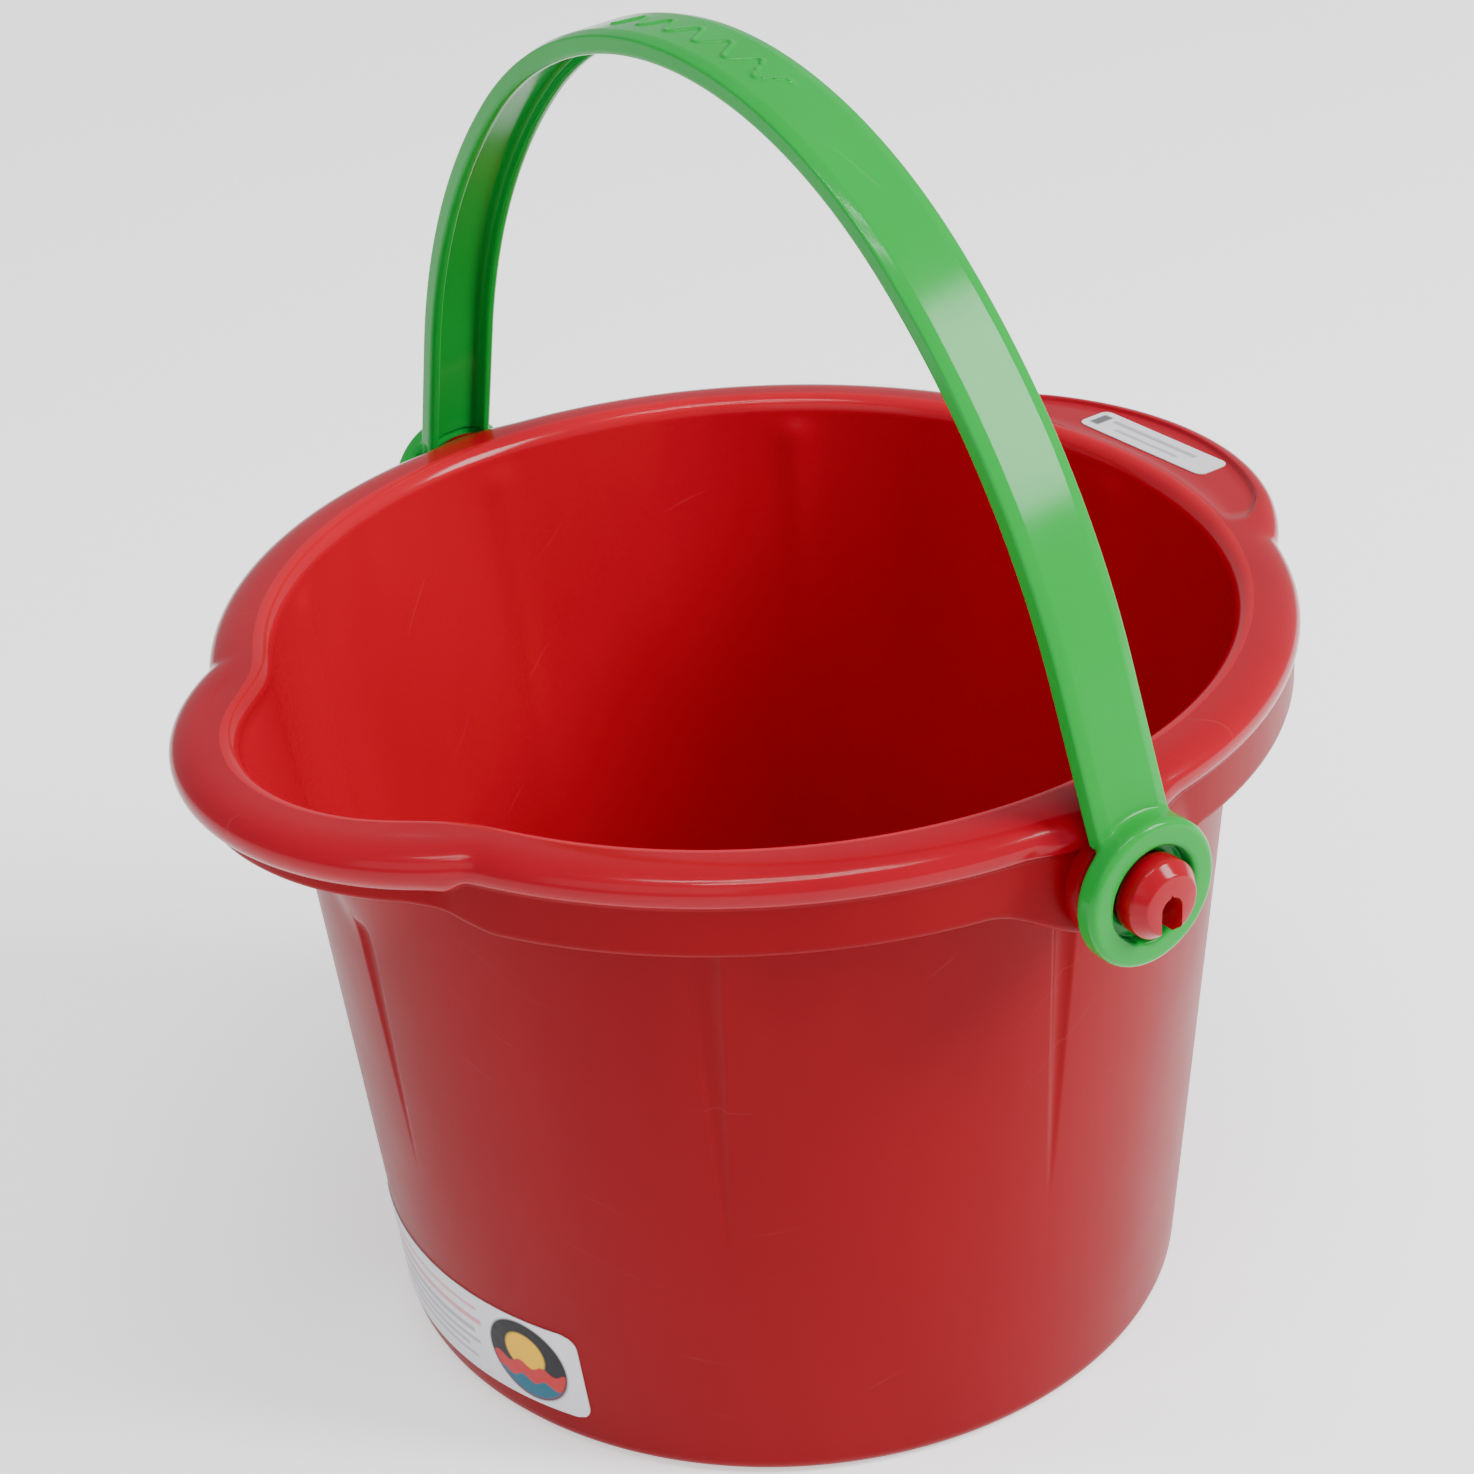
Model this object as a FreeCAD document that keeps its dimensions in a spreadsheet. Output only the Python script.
import FreeCAD, Part
import math
import os
import PartDesign
import Sketcher

# A child's sand bucket: a tapered moulded bucket with a rolled rim, a pouring spout, a grip shelf
# opposite the spout and two split snap pins, and an arched handle whose eyelets turn on the pins.
# Millimetres. Z is up, the origin is at the middle of the base, the pins lie along X, the spout
# points to -Y and the grip shelf to +Y.

DIMENSIONS = {
    # bucket wall
    "rim_height": 136.0,
    "rim_radius": 95.0,
    "base_radius": 74.4,
    "wall_top_radius": 85.9,
    "skin": 1.8,
    "base_thickness": 2.2,
    "base_corner": 3.0,
    "inner_corner": 4.0,
    # rim
    "skirt_depth": 14.8,
    "rim_skin": 2.0,
    "edge_round": 4.0,
    "lip_round": 2.0,
    "flange_drop": 5.5,
    # spout
    "spout_centre": 58.0,
    "spout_skirt_radius": 46.5,
    "spout_roll_radius": 46.3,
    "spout_roll_angle": 120.0,
    "spout_notch": 9.0,
    "spout_skirt_rise": 3.5,
    "spout_rise_start": 47.0,
    "spout_rise_end": 34.0,
    "trough_mouth_centre": 63.6,
    "trough_mouth_radius": 34.0,
    "trough_notch": 24.0,
    "trough_depth": 23.0,
    "trough_inset": 0.6,
    # grip shelf
    "shelf_centre": 47.5,
    "shelf_radius": 57.5,
    "shelf_notch": 9.0,
    "shelf_recess": 0.6,
    "recess_offset": 3.0,
    "recess_inner_edge": 1.6,
    "recess_outer_edge": 5.8,
    # flutes in the wall
    "flute_bottom": 47.0,
    "flute_radius": 4.8,
    "flute_tip_radius": 1.2,
    "flute_sink": 1.4,
    "flute_angle": 42.0,
    # hinge bosses and snap pins
    "pin_height": 123.2,
    "boss_face": 98.6,
    "boss_radius": 10.5,
    "boss_root": 81.9,
    "flare_face": 96.3,
    "flare_reach": 3.0,
    "journal_radius": 6.0,
    "head_radius": 6.8,
    "head_start": 102.6,
    "head_end": 106.8,
    "pin_end": 108.4,
    "pin_end_radius": 5.0,
    "slot_width": 3.3,
    "slot_floor": 97.0,
    "slot_top": 0.9,
    # handle
    "arch_rise": 114.7,
    "arch_top_radius": 84.5,
    "arch_side_radius": 130.7,
    "arm_foot": 104.5,
    "arm_lean": 17.1,
    "band_width": 14.2,
    "band_depth": 4.0,
    "band_skin": 1.9,
    "flange": 2.0,
    "eyelet_radius": 12.6,
    "eyelet_back": 99.1,
    "bore_radius": 6.4,
    "land_end": 102.2,
    "recess_radius": 8.0,
    "handle_lean": 2.5,
    "boss_gap": 0.9,
    # labels
    "label_thickness": 0.2,
    "wall_label_length": 68.0,
    "wall_label_height": 19.6,
    "wall_label_level": 14.8,
    "wall_label_tilt": 3.0,
    "wall_label_corner": 2.6,
    "grip_label_length": 35.0,
    "grip_label_width": 8.4,
    "grip_label_place": 94.6,
    "grip_label_corner": 1.6,
}


def make_sheet(doc):
    """Write the driving dimensions into a spreadsheet, one named cell each."""
    sheet = doc.addObject("Spreadsheet::Sheet", "dims")
    for row, (name, value) in enumerate(DIMENSIONS.items(), start=1):
        sheet.set("A%d" % row, name)
        sheet.set("B%d" % row, str(value))
        sheet.setAlias("B%d" % row, name)
    doc.addObject("Spreadsheet::Sheet", "spare")
    doc.recompute()
    return sheet


def value_of(owner, expression):
    """The number that an expression in sheet names gives, worked out in the spare sheet's cell."""
    spare = owner.Document.getObject("spare")
    spare.set("A1", "=" + expression)
    spare.recompute()
    result = spare.get("A1")
    return float(getattr(result, "Value", result))


def origin_plane(body, role):
    """One of the body's own origin planes."""
    for feature in body.Origin.OriginFeatures:
        if feature.Role == role:
            return feature
    raise RuntimeError("no origin plane " + role)


def new_sketch(body, name, role, offset="0"):
    """A sketch on an origin plane, moved along the plane's normal by an expression."""
    sketch = body.newObject("Sketcher::SketchObject", name)
    sketch.AttachmentSupport = (origin_plane(body, role), [""])
    sketch.MapMode = "FlatFace"
    if offset != "0":
        sketch.setExpression("AttachmentOffset.Base.z", offset)
    body.Document.recompute()
    return sketch


def bind(sketch, constraint, expression):
    """Add a dimensional constraint and tie it to the sheet."""
    index = sketch.addConstraint(constraint)
    sketch.setExpression("Constraints[%d]" % index, expression)


def pin_point(sketch, geometry, end, expressions):
    """Hold a sketch point at (x, y) given as expressions, on an axis where one of them is zero."""
    for axis, kind, expression in ((-2, "DistanceX", expressions[0]), (-1, "DistanceY", expressions[1])):
        amount = value_of(sketch, expression)
        if abs(amount) < 1e-9:
            sketch.addConstraint(Sketcher.Constraint("PointOnObject", geometry, end, axis))
        else:
            bind(sketch, Sketcher.Constraint(kind, -1, 1, geometry, end, amount), expression)


def polygon(sketch, corners):
    """A closed chain of straight lines through corners given as pairs of expressions."""
    points = [FreeCAD.Vector(value_of(sketch, x), value_of(sketch, y), 0) for x, y in corners]
    first = sketch.GeometryCount
    count = len(points)
    for index in range(count):
        sketch.addGeometry(Part.LineSegment(points[index], points[(index + 1) % count]), False)
    for index in range(count):
        following = first + (index + 1) % count
        sketch.addConstraint(Sketcher.Constraint("Coincident", first + index, 2, following, 1))
    for index, corner in enumerate(corners):
        pin_point(sketch, first + index, 1, corner)
    return first


def axis_line(sketch, start, end):
    """A construction line that a revolution turns about; returns its reference name."""
    line = Part.LineSegment(
        FreeCAD.Vector(value_of(sketch, start[0]), value_of(sketch, start[1]), 0),
        FreeCAD.Vector(value_of(sketch, end[0]), value_of(sketch, end[1]), 0),
    )
    index = sketch.addGeometry(line, True)
    pin_point(sketch, index, 1, start)
    pin_point(sketch, index, 2, end)
    return "Axis0"


def circle(sketch, centre, radius):
    """A circle bound to the sheet."""
    middle = FreeCAD.Vector(value_of(sketch, centre[0]), value_of(sketch, centre[1]), 0)
    size = value_of(sketch, radius)
    index = sketch.addGeometry(Part.Circle(middle, FreeCAD.Vector(0, 0, 1), size), False)
    pin_point(sketch, index, 3, centre)
    bind(sketch, Sketcher.Constraint("Radius", index, size), radius)
    return index


def arc_between(centre, radius, start, end):
    """An arc about a centre, counter-clockwise from one angle to another (radians)."""
    full = Part.Circle(FreeCAD.Vector(centre[0], centre[1], 0), FreeCAD.Vector(0, 0, 1), radius)
    while end < start:
        end += 2 * math.pi
    return Part.ArcOfCircle(full, start, end)


def notch_centre(main_radius, lobe_centre, lobe_radius, notch_radius):
    """Centre of the hollow arc that joins the rim circle to a lobe, on the lobe's +X side.

    lobe_centre is the signed Y of the lobe's centre; the hollow arc lies outside both circles.
    """
    far = main_radius + notch_radius
    near = lobe_radius + notch_radius
    distance = abs(lobe_centre)
    along = (far ** 2 - near ** 2 + distance ** 2) / (2 * distance)
    across = math.sqrt(far ** 2 - along ** 2)
    return across, math.copysign(along, lobe_centre)


def lobed_outline(sketch, main, lobes):
    """The rim circle with a rounded lobe toward -Y and, where given, one toward +Y.

    main is the expression of the rim circle's radius. Each lobe is (sign, centre distance, radius,
    notch radius), the last three as expressions. All arcs are tangent to their neighbours.
    """
    main_radius = value_of(sketch, main)
    sides = {}
    for sign, centre, radius, notch in lobes:
        lobe_radius = value_of(sketch, radius)
        notch_radius = value_of(sketch, notch)
        middle = sign * value_of(sketch, centre)
        hollow_x, hollow_y = notch_centre(main_radius, middle, lobe_radius, notch_radius)
        sides[sign] = {
            "centre": middle, "lobe": lobe_radius, "notch": notch_radius,
            "hollow": (hollow_x, hollow_y),
            "rim_angle": math.atan2(hollow_y, hollow_x),
            "lobe_angle": math.atan2(hollow_y - middle, hollow_x),
            "names": (centre, radius, notch),
        }
    spout = sides[-1]
    shelf = sides.get(1)
    arcs = []

    def add(kind, centre, radius, start, end, sign=0):
        index = sketch.addGeometry(arc_between(centre, radius, start, end), False)
        arcs.append((kind, index, sign))

    # counter-clockwise, from the right end of the spout
    hx, hy = spout["hollow"]
    add("notch", (hx, hy), spout["notch"], spout["rim_angle"] + math.pi, spout["lobe_angle"] + math.pi, -1)
    if shelf:
        sx, sy = shelf["hollow"]
        add("main", (0, 0), main_radius, spout["rim_angle"], shelf["rim_angle"])
        add("notch", (sx, sy), shelf["notch"], shelf["lobe_angle"] + math.pi, shelf["rim_angle"] + math.pi, 1)
        turn = shelf["lobe_angle"]
        add("lobe", (0, shelf["centre"]), shelf["lobe"], turn, math.pi - turn, 1)
        add("notch", (-sx, sy), shelf["notch"], -shelf["rim_angle"], -shelf["lobe_angle"], 1)
        add("main", (0, 0), main_radius, math.pi - shelf["rim_angle"], math.pi - spout["rim_angle"])
    else:
        add("main", (0, 0), main_radius, spout["rim_angle"], math.pi - spout["rim_angle"])
    add("notch", (-hx, hy), spout["notch"], -spout["lobe_angle"], -spout["rim_angle"], -1)
    add("lobe", (0, spout["centre"]), spout["lobe"], math.pi - spout["lobe_angle"],
        2 * math.pi + spout["lobe_angle"], -1)

    # a hollow arc runs the other way round, so its start meets the next arc's start
    count = len(arcs)
    for position in range(count):
        kind, index, _ = arcs[position]
        next_kind, next_index, _ = arcs[(position + 1) % count]
        leaving = 1 if kind == "notch" else 2
        entering = 2 if next_kind == "notch" else 1
        sketch.addConstraint(Sketcher.Constraint("Tangent", index, leaving, next_index, entering))
    for kind, index, sign in arcs:
        if kind == "main":
            sketch.addConstraint(Sketcher.Constraint("Coincident", index, 3, -1, 1))
            bind(sketch, Sketcher.Constraint("Radius", index, main_radius), main)
            continue
        centre, radius, notch = sides[sign]["names"]
        if kind == "lobe":
            pin_point(sketch, index, 3, ("0", centre if sign > 0 else "-(%s)" % centre))
            bind(sketch, Sketcher.Constraint("Radius", index, sides[sign]["lobe"]), radius)
        else:
            bind(sketch, Sketcher.Constraint("Radius", index, sides[sign]["notch"]), notch)


def pad(body, name, sketch, length, reverse=False, both_ways=False):
    """Pad a sketch by a bound length."""
    feature = body.newObject("PartDesign::Pad", name)
    feature.Profile = (sketch, [""])
    feature.setExpression("Length", length)
    feature.Reversed = reverse
    feature.Midplane = both_ways
    body.Document.recompute()
    return feature


def pocket(body, name, sketch, length, reverse=False, both_ways=False):
    """Pocket a sketch by a bound length, and make sure that it removed something."""
    before = body.Shape.Volume
    feature = body.newObject("PartDesign::Pocket", name)
    feature.Profile = (sketch, [""])
    feature.setExpression("Length", length)
    feature.Reversed = reverse
    feature.Midplane = both_ways
    body.Document.recompute()
    if feature.Shape.Volume > before - 1e-3:
        raise RuntimeError(name + " removed nothing")
    return feature


def revolution(body, name, sketch, reference, angle="360", centred=False):
    """Turn a sketch about its construction line."""
    feature = body.newObject("PartDesign::Revolution", name)
    feature.Profile = (sketch, [""])
    feature.ReferenceAxis = (sketch, [reference])
    feature.setExpression("Angle", angle)
    feature.Midplane = centred
    body.Document.recompute()
    return feature


def round_edges(body, name, base, chosen, radius):
    """Fillet the edges of a feature that the test chooses."""
    names = ["Edge%d" % number for number, edge in enumerate(base.Shape.Edges, start=1) if chosen(edge)]
    if not names:
        raise RuntimeError(name + " found no edges")
    feature = body.newObject("PartDesign::Fillet", name)
    feature.Base = (base, names)
    feature.setExpression("Radius", radius)
    body.Document.recompute()
    return feature


def at_level(edge, level):
    """True where an edge lies in the horizontal plane at that height."""
    return abs(edge.BoundBox.ZMin - level) < 1e-4 and abs(edge.BoundBox.ZMax - level) < 1e-4


def wall_slope(sheet):
    """Growth of the wall's radius per millimetre of height."""
    return (sheet.wall_top_radius - sheet.base_radius) / sheet.rim_height


def add_flutes(body, kind, label, top, extra):
    """Eight tapered cones down the wall, as cuts outside or as ribs left inside.

    The cones widen steadily up to the rim's height, and are cut off at the height top. extra
    thickens each cone, so that the rib follows the groove at one skin's distance.
    """
    sheet = body.Document.dims
    turn = sheet.flute_angle
    angles = [0, turn, 90, 180 - turn, 180, 180 + turn, 270, 360 - turn]
    low = sheet.flute_bottom
    rise = sheet.rim_height - low
    low_place = sheet.base_radius + wall_slope(sheet) * low + sheet.flute_tip_radius
    high_place = sheet.wall_top_radius + sheet.flute_radius - sheet.flute_sink
    lean = math.degrees(math.atan2(high_place - low_place, rise))
    share = "((%s - dims.flute_bottom) / (dims.rim_height - dims.flute_bottom))" % top
    growth = "(dims.flute_radius - dims.flute_tip_radius) * " + share
    for number, angle in enumerate(angles, start=1):
        cone = body.newObject(kind, "%s_%d" % (label, number))
        cone.setExpression("Radius1", "dims.flute_tip_radius + " + extra)
        cone.setExpression("Radius2", "dims.flute_tip_radius + %s + %s" % (growth, extra))
        cone.Height = math.hypot(high_place - low_place, rise) * value_of(cone, share)
        around = FreeCAD.Rotation(FreeCAD.Vector(0, 0, 1), angle)
        tilt = FreeCAD.Rotation(FreeCAD.Vector(0, 1, 0), lean)
        foot = around.multVec(FreeCAD.Vector(low_place, 0, low))
        cone.AttachmentSupport = (origin_plane(body, "XY_Plane"), [""])
        cone.MapMode = "FlatFace"
        cone.AttachmentOffset = FreeCAD.Placement(foot, around.multiply(tilt))
    body.Document.recompute()


def add_trough(body, name, grow):
    """The spout's scoop: a loft through three lobed outlines, from the lip down into the wall.

    grow thickens it by an expression, for the outside of the scoop.
    """
    main = "dims.wall_top_radius - dims.skin - dims.trough_inset"
    # how deep each outline lies and how large its lobe is, as shares; how far the main circle
    # shrinks and the lobe's centre moves back, in millimetres
    levels = [
        ("mouth", 0.0, 1.0, 0.0, 0.0),
        ("middle", 0.45, 0.91, 0.8, 2.1),
        ("foot", 1.0, 0.66, 3.2, 5.6),
    ]
    sections = []
    for label, depth, size, shrink, back in levels:
        level = "dims.rim_height - %g * dims.trough_depth" % depth
        sketch = new_sketch(body, "%s_%s" % (name, label), "XY_Plane", level)
        centre = "dims.trough_mouth_centre - %g" % back
        radius = "dims.trough_mouth_radius * %g + %s" % (size, grow)
        lobe = (-1, centre, radius, "dims.trough_notch")
        lobed_outline(sketch, "%s - %g + %s" % (main, shrink, grow), [lobe])
        sections.append(sketch)
    body.Document.recompute()
    loft = body.newObject("PartDesign::AdditiveLoft", name)
    loft.Profile = (sections[0], [""])
    loft.Sections = [(section, [""]) for section in sections[1:]]
    loft.Ruled = False
    body.Document.recompute()
    return loft


def make_cavity(doc):
    """The space inside the bucket, less the ribs behind the flutes, with the spout's scoop."""
    body = doc.addObject("PartDesign::Body", "cavity")
    slope = "(dims.wall_top_radius - dims.base_radius) / dims.rim_height"
    profile = new_sketch(body, "cavity_profile", "XZ_Plane")
    floor_radius = "dims.base_radius - dims.skin + %s * dims.base_thickness" % slope
    polygon(profile, [
        ("0", "dims.base_thickness"),
        (floor_radius, "dims.base_thickness"),
        ("dims.wall_top_radius - dims.skin", "dims.rim_height"),
        ("0", "dims.rim_height"),
    ])
    reference = axis_line(profile, ("0", "0"), ("0", "dims.rim_height + 10"))
    cup = revolution(body, "cavity_cup", profile, reference)
    floor_level = doc.dims.base_thickness
    round_edges(body, "cavity_corner", cup, lambda edge: at_level(edge, floor_level), "dims.inner_corner")
    flange = "(dims.rim_height - dims.flange_drop)"
    add_flutes(body, "PartDesign::SubtractiveCone", "rib", flange, "dims.skin")
    add_trough(body, "trough_inside", "0")
    return body


def add_rim(body):
    """The rolled rim: skirt outline, rounded top edge, spout roll, and the hollow under it."""
    sheet = body.Document.dims
    skirt_level = "dims.rim_height - dims.skirt_depth"
    outline = new_sketch(body, "rim_outline", "XY_Plane", skirt_level)
    lobed_outline(outline, "dims.rim_radius", [
        (-1, "dims.spout_centre", "dims.spout_skirt_radius", "dims.spout_notch"),
        (1, "dims.shelf_centre", "dims.shelf_radius", "dims.shelf_notch"),
    ])
    rim = pad(body, "rim", outline, "dims.skirt_depth")
    top = sheet.rim_height
    round_edges(body, "rim_round", rim, lambda edge: at_level(edge, top), "dims.edge_round")

    roll = new_sketch(body, "spout_roll_section", "YZ_Plane")
    circle(roll, ("-dims.spout_centre - dims.spout_roll_radius", "dims.rim_height - dims.edge_round"),
           "dims.edge_round")
    reference = axis_line(roll, ("-dims.spout_centre", "0"), ("-dims.spout_centre", "dims.rim_height"))
    revolution(body, "spout_roll", roll, reference, "dims.spout_roll_angle", centred=True)

    hollow = new_sketch(body, "rim_hollow_outline", "XY_Plane", skirt_level)
    lobed_outline(hollow, "dims.rim_radius - dims.rim_skin", [
        (-1, "dims.spout_centre", "dims.spout_skirt_radius - dims.rim_skin",
         "dims.spout_notch + dims.rim_skin"),
        (1, "dims.shelf_centre", "dims.shelf_radius - dims.rim_skin", "dims.shelf_notch + dims.rim_skin"),
    ])
    pocket(body, "rim_hollow", hollow, "dims.skirt_depth - dims.rim_skin", reverse=True)

    # the skirt's lower edge is raised under the spout; the cut reaches out past the spout's tip
    scallop = new_sketch(body, "skirt_scallop_outline", "XZ_Plane", "dims.spout_centre")
    rise = skirt_level + " + dims.spout_skirt_rise"
    polygon(scallop, [
        ("-dims.spout_rise_start", skirt_level + " - 1"),
        ("dims.spout_rise_start", skirt_level + " - 1"),
        ("dims.spout_rise_start", skirt_level),
        ("dims.spout_rise_end", rise),
        ("-dims.spout_rise_end", rise),
        ("-dims.spout_rise_start", skirt_level),
    ])
    pocket(body, "skirt_scallop", scallop, "dims.spout_skirt_radius + 10", reverse=True)


def add_wall(body):
    """The tapered wall and base, solid until the cavity is taken out."""
    profile = new_sketch(body, "wall_profile", "XZ_Plane")
    polygon(profile, [
        ("0", "0"),
        ("dims.base_radius", "0"),
        ("dims.wall_top_radius", "dims.rim_height"),
        ("0", "dims.rim_height"),
    ])
    reference = axis_line(profile, ("0", "-10"), ("0", "dims.rim_height + 10"))
    wall = revolution(body, "wall", profile, reference)
    round_edges(body, "base_round", wall, lambda edge: at_level(edge, 0.0), "dims.base_corner")
    under_flange = "(dims.rim_height - dims.flange_drop - dims.rim_skin)"
    add_flutes(body, "PartDesign::SubtractiveCone", "flute", under_flange, "0")
    add_trough(body, "trough_outside", "dims.skin")


def add_hinges(body):
    """At each end of the X axis: a boss flared into the skirt, and a split snap pin."""
    flare = new_sketch(body, "boss_flare_profile", "XZ_Plane")
    boss_foot = "dims.pin_height - dims.boss_radius"
    polygon(flare, [
        ("dims.boss_root", "dims.pin_height"),
        ("dims.boss_root", boss_foot),
        ("dims.rim_radius - dims.rim_skin", boss_foot + " - dims.flare_reach"),
        ("dims.rim_radius", boss_foot + " - dims.flare_reach / 2"),
        ("dims.flare_face", boss_foot),
        ("dims.flare_face", "dims.pin_height"),
    ])
    reference = axis_line(flare, ("0", "dims.pin_height"), ("dims.rim_radius", "dims.pin_height"))
    flares = revolution(body, "boss_flare", flare, reference, "230", centred=True)

    profile = new_sketch(body, "pin_profile", "XZ_Plane")
    level = "dims.pin_height + "
    polygon(profile, [
        ("dims.boss_root", "dims.pin_height"),
        ("dims.boss_root", level + "dims.boss_radius"),
        ("dims.boss_face", level + "dims.boss_radius"),
        ("dims.boss_face", level + "dims.journal_radius"),
        ("dims.head_start", level + "dims.journal_radius"),
        ("dims.head_start", level + "dims.head_radius"),
        ("dims.head_end", level + "dims.head_radius"),
        ("dims.pin_end", level + "dims.pin_end_radius"),
        ("dims.pin_end", "dims.pin_height"),
    ])
    reference = axis_line(profile, ("0", "dims.pin_height"), ("dims.rim_radius", "dims.pin_height"))
    pin = revolution(body, "snap_pin", profile, reference)

    slot = new_sketch(body, "pin_slot_outline", "YZ_Plane", "dims.slot_floor")
    half = "dims.slot_width / 2"
    polygon(slot, [
        ("-" + half, "dims.pin_height - dims.head_radius - 1"),
        (half, "dims.pin_height - dims.head_radius - 1"),
        (half, "dims.pin_height + dims.slot_top"),
        ("-" + half, "dims.pin_height + dims.slot_top"),
    ])
    split = pocket(body, "pin_slot", slot, "dims.pin_end - dims.slot_floor + 1", reverse=True)

    mirror = body.newObject("PartDesign::Mirrored", "second_hinge")
    mirror.Originals = [flares, pin, split]
    mirror.MirrorPlane = (origin_plane(body, "YZ_Plane"), [""])
    body.Tip = mirror
    body.Document.recompute()


def add_shelf_recess(body):
    """The shallow crescent sunk into the grip shelf, inside its raised outer edge."""
    sheet = body.Document.dims
    sketch = new_sketch(body, "shelf_recess_outline", "XY_Plane", "dims.rim_height")
    inner = sheet.wall_top_radius + sheet.recess_inner_edge
    outer = sheet.shelf_radius - sheet.recess_outer_edge
    centre = sheet.shelf_centre + sheet.recess_offset
    along = (inner ** 2 - outer ** 2 + centre ** 2) / (2 * centre)
    inner_angle = math.asin(along / inner)
    outer_angle = math.atan2(along - centre, math.sqrt(inner ** 2 - along ** 2))
    near = sketch.addGeometry(arc_between((0, 0), inner, inner_angle, math.pi - inner_angle), False)
    far = sketch.addGeometry(arc_between((0, centre), outer, outer_angle, math.pi - outer_angle), False)
    sketch.addConstraint(Sketcher.Constraint("Coincident", near, 1, far, 1))
    sketch.addConstraint(Sketcher.Constraint("Coincident", near, 2, far, 2))
    sketch.addConstraint(Sketcher.Constraint("Coincident", near, 3, -1, 1))
    bind(sketch, Sketcher.Constraint("Radius", near, inner), "dims.wall_top_radius + dims.recess_inner_edge")
    bind(sketch, Sketcher.Constraint("Radius", far, outer), "dims.shelf_radius - dims.recess_outer_edge")
    pin_point(sketch, far, 3, ("0", "dims.shelf_centre + dims.recess_offset"))
    pocket(body, "shelf_recess", sketch, "dims.shelf_recess")


def make_bucket(doc):
    """The whole bucket moulding."""
    body = doc.addObject("PartDesign::Body", "bucket")
    body.Label = "bucket"
    add_rim(body)
    add_wall(body)
    add_hinges(body)
    cavity = make_cavity(doc)
    hollow = body.newObject("PartDesign::Boolean", "take_out_cavity")
    hollow.Type = "Cut"
    hollow.Group = [cavity]
    doc.recompute()
    rim_height = doc.dims.rim_height

    def on_inner_lip(edge):
        """True for the mouth's edge: it is level with the rim, and a step inward leaves the solid."""
        if not at_level(edge, rim_height):
            return False
        middle = edge.valueAt((edge.FirstParameter + edge.LastParameter) / 2)
        inward = FreeCAD.Vector(-middle.x, -middle.y, 0).normalize()
        probe = middle + inward * 0.5 + FreeCAD.Vector(0, 0, -1)
        return not hollow.Shape.isInside(probe, 1e-3, False)

    round_edges(body, "lip_round", hollow, on_inner_lip, "dims.lip_round")
    add_shelf_recess(body)
    return body


def arch_sketch(body, name, inset):
    """The handle's arch seen along Y: two leaning arms, two side arcs and a top arc, closed below.

    inset moves the whole arch inward by an expression. Heights are above the pins.
    """
    sheet = body.Document.dims
    sketch = new_sketch(body, name, "XZ_Plane")
    cut = value_of(sketch, inset)
    lean = math.radians(sheet.arm_lean)
    level = sheet.pin_height
    top_radius = sheet.arch_top_radius
    side_radius = sheet.arch_side_radius
    top_centre = level + sheet.arch_rise - top_radius
    # the side arc's centre lies on the normal of the leaning arm, and one radius difference away
    # from the top arc's centre
    normal = (math.cos(lean), math.sin(lean))
    reach = sheet.arm_foot * normal[0] + level * normal[1] - side_radius
    apart = side_radius - top_radius
    offset = reach - top_centre * normal[1]
    across = math.sqrt(apart ** 2 - offset ** 2)
    side = (
        normal[0] * offset + normal[1] * across,
        top_centre + normal[1] * offset - normal[0] * across,
    )
    join = math.atan2(top_centre - side[1], -side[0])
    toe = (side[0] + (side_radius - cut) * normal[0], side[1] + (side_radius - cut) * normal[1])
    foot_x = toe[0] + (toe[1] - level) * math.tan(lean)
    vector = FreeCAD.Vector
    arm = sketch.addGeometry(Part.LineSegment(vector(foot_x, level, 0), vector(toe[0], toe[1], 0)), False)
    near = sketch.addGeometry(arc_between(side, side_radius - cut, lean, join), False)
    top = sketch.addGeometry(arc_between((0, top_centre), top_radius - cut, join, math.pi - join), False)
    far_arc = arc_between((-side[0], side[1]), side_radius - cut, math.pi - join, math.pi - lean)
    far = sketch.addGeometry(far_arc, False)
    other = sketch.addGeometry(Part.LineSegment(vector(-toe[0], toe[1], 0), vector(-foot_x, level, 0)), False)
    close = sketch.addGeometry(Part.LineSegment(vector(-foot_x, level, 0), vector(foot_x, level, 0)), False)
    for first, second in ((arm, near), (near, top), (top, far), (far, other)):
        sketch.addConstraint(Sketcher.Constraint("Tangent", first, 2, second, 1))
    sketch.addConstraint(Sketcher.Constraint("Coincident", other, 2, close, 1))
    sketch.addConstraint(Sketcher.Constraint("Coincident", close, 2, arm, 1))
    pin_point(sketch, top, 3, ("0", "dims.pin_height + dims.arch_rise - dims.arch_top_radius"))
    bind(sketch, Sketcher.Constraint("Radius", top, top_radius - cut), "dims.arch_top_radius - " + inset)
    bind(sketch, Sketcher.Constraint("Radius", near, side_radius - cut), "dims.arch_side_radius - " + inset)
    sketch.addConstraint(Sketcher.Constraint("Equal", near, far))
    foot = "dims.arm_foot - (%s) / cos(dims.arm_lean * 1 deg)" % inset
    pin_point(sketch, arm, 1, (foot, "dims.pin_height"))
    pin_point(sketch, other, 2, ("-(%s)" % foot, "dims.pin_height"))
    body.Document.recompute()
    return sketch


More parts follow.
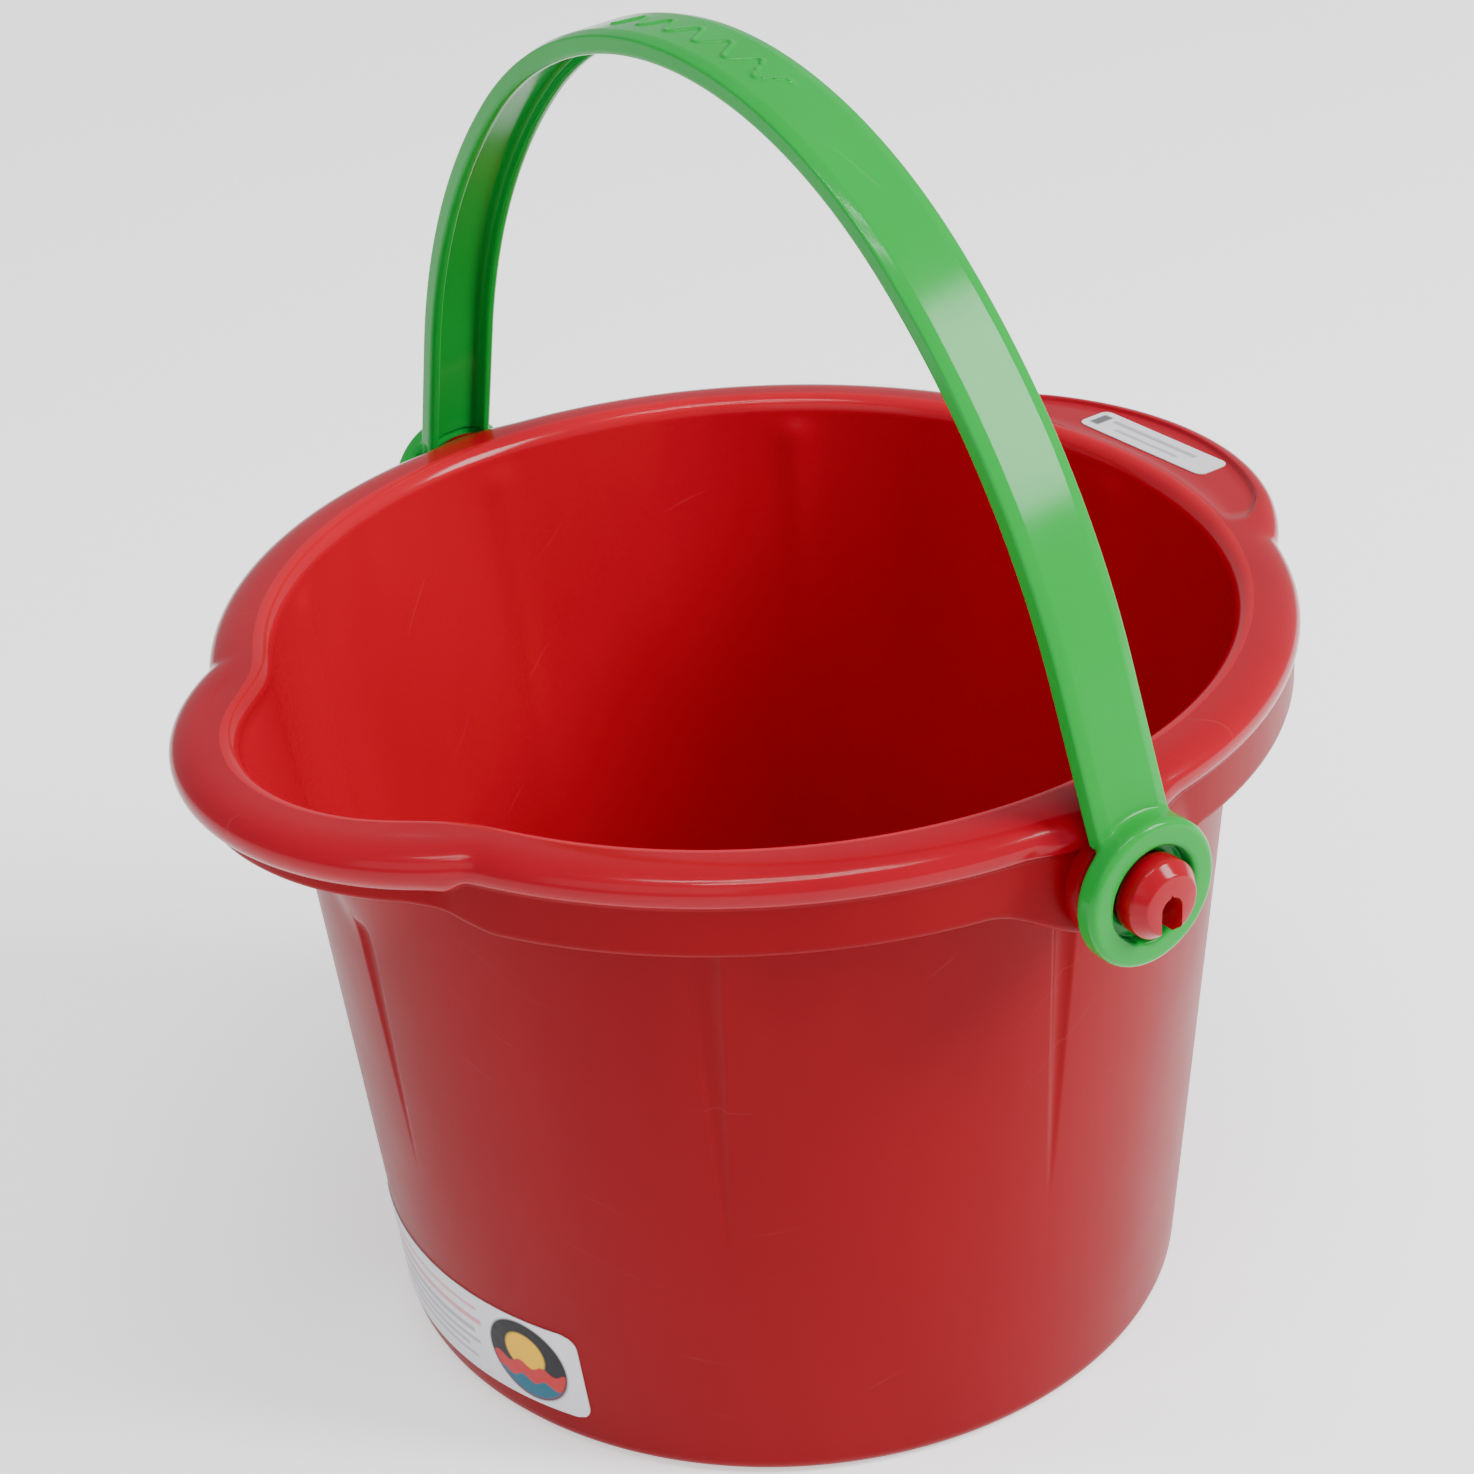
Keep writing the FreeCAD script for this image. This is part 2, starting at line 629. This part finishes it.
def make_handle(doc):
    """The arched channel-section handle with its two eyelets."""
    body = doc.addObject("PartDesign::Body", "handle")
    body.Label = "handle"
    band = pad(body, "band", arch_sketch(body, "band_outline", "0"), "dims.band_width", both_ways=True)
    channel = "dims.band_width - 2 * dims.flange"
    pocket(body, "channel", arch_sketch(body, "channel_outline", "dims.band_skin"), channel, both_ways=True)
    pocket(body, "opening", arch_sketch(body, "opening_outline", "dims.band_depth"),
           "dims.band_width + 2", both_ways=True)

    clear = new_sketch(body, "boss_clearance_outline", "YZ_Plane")
    circle(clear, ("0", "dims.pin_height"), "dims.boss_radius + dims.boss_gap")
    pocket(body, "boss_clearance", clear, "2 * dims.eyelet_back", both_ways=True)

    for side, sign in (("near", ""), ("far", "-")):
        ring = new_sketch(body, side + "_eyelet_outline", "YZ_Plane", sign + "dims.eyelet_back")
        circle(ring, ("0", "dims.pin_height"), "dims.eyelet_radius")
        pad(body, side + "_eyelet", ring, "dims.arm_foot - dims.eyelet_back", reverse=bool(sign))
    bore = new_sketch(body, "bore_outline", "YZ_Plane")
    circle(bore, ("0", "dims.pin_height"), "dims.bore_radius")
    pocket(body, "bores", bore, "2 * dims.arm_foot + 2", both_ways=True)
    for side, sign in (("near", ""), ("far", "-")):
        recess = new_sketch(body, side + "_recess_outline", "YZ_Plane", sign + "dims.land_end")
        circle(recess, ("0", "dims.pin_height"), "dims.recess_radius")
        pocket(body, side + "_recess", recess, "dims.arm_foot - dims.land_end + 1", reverse=not sign)

    body.Placement = FreeCAD.Placement(
        FreeCAD.Vector(0, 0, 0),
        FreeCAD.Rotation(FreeCAD.Vector(1, 0, 0), doc.dims.handle_lean),
        FreeCAD.Vector(0, 0, doc.dims.pin_height),
    )
    return body


def rounded_plate(length, height, corner, thickness):
    """A flat plate with rounded corners, its middle at the origin, lying in the XY plane."""
    box = Part.makeBox(length, height, thickness, FreeCAD.Vector(-length / 2, -height / 2, 0))
    upright = [edge for edge in box.Edges if abs(edge.BoundBox.ZLength - thickness) < 1e-6]
    return box.makeFillet(corner, upright)


def make_wall_label(doc):
    """The label low on the wall under the spout: a thin skin cut from a cone that fits the wall."""
    sheet = doc.dims
    slope = wall_slope(sheet)
    height = sheet.flute_bottom
    inner = Part.makeCone(sheet.base_radius, sheet.base_radius + slope * height, height)
    outer = Part.makeCone(sheet.base_radius + sheet.label_thickness,
                          sheet.base_radius + sheet.label_thickness + slope * height, height)
    plate = rounded_plate(sheet.wall_label_length, sheet.wall_label_height,
                          sheet.wall_label_corner, 2 * sheet.base_radius)
    plate.rotate(FreeCAD.Vector(0, 0, 0), FreeCAD.Vector(0, 0, 1), sheet.wall_label_tilt)
    plate.rotate(FreeCAD.Vector(0, 0, 0), FreeCAD.Vector(1, 0, 0), 90)
    plate.translate(FreeCAD.Vector(0, 0, sheet.wall_label_level))
    label = doc.addObject("Part::Feature", "wall_label")
    label.Label = "wall_label"
    label.Shape = outer.cut(inner).common(plate)
    return label


def make_grip_label(doc):
    """The narrow label lying in the grip shelf's recess."""
    sheet = doc.dims
    plate = rounded_plate(sheet.grip_label_length, sheet.grip_label_width,
                          sheet.grip_label_corner, sheet.label_thickness)
    label = doc.addObject("Part::Feature", "grip_label")
    label.Label = "grip_label"
    label.Shape = plate
    label.Placement = FreeCAD.Placement(
        FreeCAD.Vector(0, sheet.grip_label_place, sheet.rim_height - sheet.shelf_recess),
        FreeCAD.Rotation(),
    )
    return label


def make_document():
    """Build every sub-part and return the document with the ones to export."""
    doc = FreeCAD.newDocument("sand_bucket")
    make_sheet(doc)
    parts = [make_bucket(doc), make_handle(doc), make_wall_label(doc), make_grip_label(doc)]
    return doc, parts


def check(doc, parts):
    """Stop if any object failed or any sub-part isn't one valid solid."""
    doc.recompute()
    for item in doc.Objects:
        if "Invalid" in item.State or "Error" in item.State:
            raise RuntimeError("%s is %s" % (item.Name, item.State))
    for item in parts:
        shape = item.Shape
        if shape.isNull() or not shape.isValid() or len(shape.Solids) != 1:
            raise RuntimeError(item.Label + " is not one valid solid")


def export(parts):
    """Write each sub-part to its own STEP file."""
    os.makedirs("parts", exist_ok=True)
    for item in parts:
        item.Shape.exportStep("parts/%s.step" % item.Label)
        box = item.Shape.BoundBox
        print("%s: volume %.1f cm3, X %.1f..%.1f, Y %.1f..%.1f, Z %.1f..%.1f" % (
            item.Label, item.Shape.Volume / 1000.0,
            box.XMin, box.XMax, box.YMin, box.YMax, box.ZMin, box.ZMax))


document, sub_parts = make_document()
check(document, sub_parts)
export(sub_parts)
